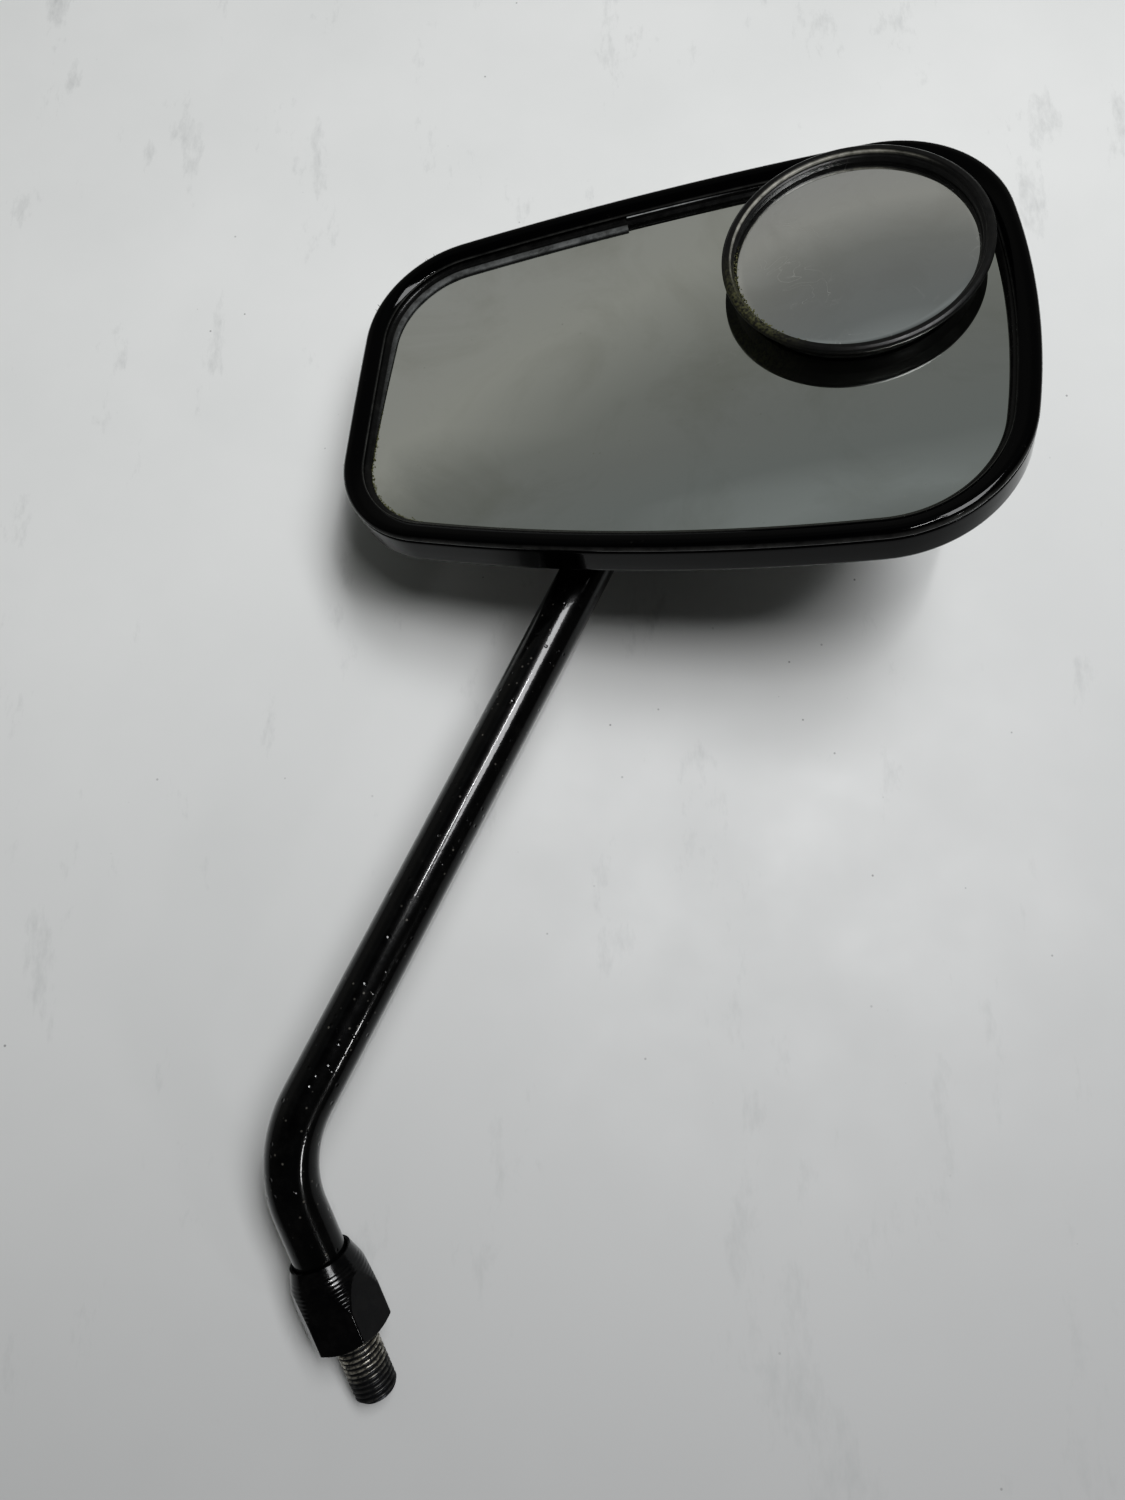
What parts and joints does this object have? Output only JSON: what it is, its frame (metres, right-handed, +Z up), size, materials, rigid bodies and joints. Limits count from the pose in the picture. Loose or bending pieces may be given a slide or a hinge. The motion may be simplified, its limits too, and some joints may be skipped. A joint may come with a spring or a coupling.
{
  "type": "motorcycle rear-view mirror",
  "caption": "Stalk-mounted rear-view mirror: a rounded head on a ball joint, a bent tube with a threaded stud and lock nut, and a round stick-on convex mirror on the glass.",
  "frame": {"origin": "centre of the lock nut's jam face, on the axis of the threaded stud", "axes": "+Z up from the surface the mirror lies on, face up; +Y from the stud towards the head; +X towards the head's outer side"},
  "size_m": [0.169, 0.2848, 0.0784],
  "materials": {
    "black_chrome_tube": "gloss",
    "zinc_steel": "satin",
    "black_oxide_steel": "satin",
    "plain_steel": "satin",
    "spring_steel": "satin",
    "nylon": "matte",
    "gloss_black_plastic": "gloss",
    "black_rubber": "matte",
    "mirror_glass": "polished",
    "grey_foam": "matte",
    "backing_plastic": "matte",
    "satin_black_plastic": "satin"
  },
  "bodies": {
    "stem": {"stem_tube": "black_chrome_tube", "threaded_stud": "zinc_steel", "ball_stud": "plain_steel"},
    "nut_carrier": {"nut_seal_ring": "black_rubber"},
    "nut": {"lock_nut": "black_oxide_steel"},
    "turn_carrier": {"front_liner": "nylon"},
    "tilt_carrier": {"rear_liner": "nylon"},
    "head": {"socket_plate": "plain_steel", "clamp_plate": "plain_steel", "clamp_screws": "zinc_steel", "clamp_springs": "spring_steel", "clamp_nuts": "zinc_steel", "plate_screws": "zinc_steel", "plate_washers": "zinc_steel", "rear_housing": "gloss_black_plastic", "front_rim": "gloss_black_plastic", "glass_gasket": "black_rubber", "main_glass": "mirror_glass", "glass_pad": "grey_foam", "backing_plate": "backing_plastic", "spot_bezel": "satin_black_plastic", "spot_glass": "mirror_glass", "spot_pad": "grey_foam"}
  },
  "joints": [
    {"name": "head_turn", "type": "hinge", "parent": "stem", "child": "turn_carrier", "pos_m": [0.06832, 0.20383, 0.0197], "axis": [0.4481, 0.8937, 0.0223], "range_deg": [-8, 32]},
    {"name": "head_tilt", "type": "hinge", "parent": "turn_carrier", "child": "tilt_carrier", "pos_m": [0.06832, 0.20383, 0.0197], "axis": [0.8543, -0.4354, 0.2838], "range_deg": [-6, 10]},
    {"name": "head_lean", "type": "hinge", "parent": "tilt_carrier", "child": "head", "pos_m": [0.06832, 0.20383, 0.0197], "axis": [-0.2419, 0.1501, 0.9586], "range_deg": [-6, 6]},
    {"name": "nut_travel", "type": "slide", "parent": "stem", "child": "nut_carrier", "axis": [0.3433, -0.8685, -0.3577], "range_m": [0, 0.01]},
    {"name": "nut_spin", "type": "hinge", "parent": "nut_carrier", "child": "nut", "pos_m": [0, 0, 0], "axis": [0.3433, -0.8685, -0.3577], "range_deg": [0, 2881]}
  ],
  "couplings": [
    {"joint": "nut_spin", "follows": "nut_travel", "rad_per_m": 5026.5}
  ]
}
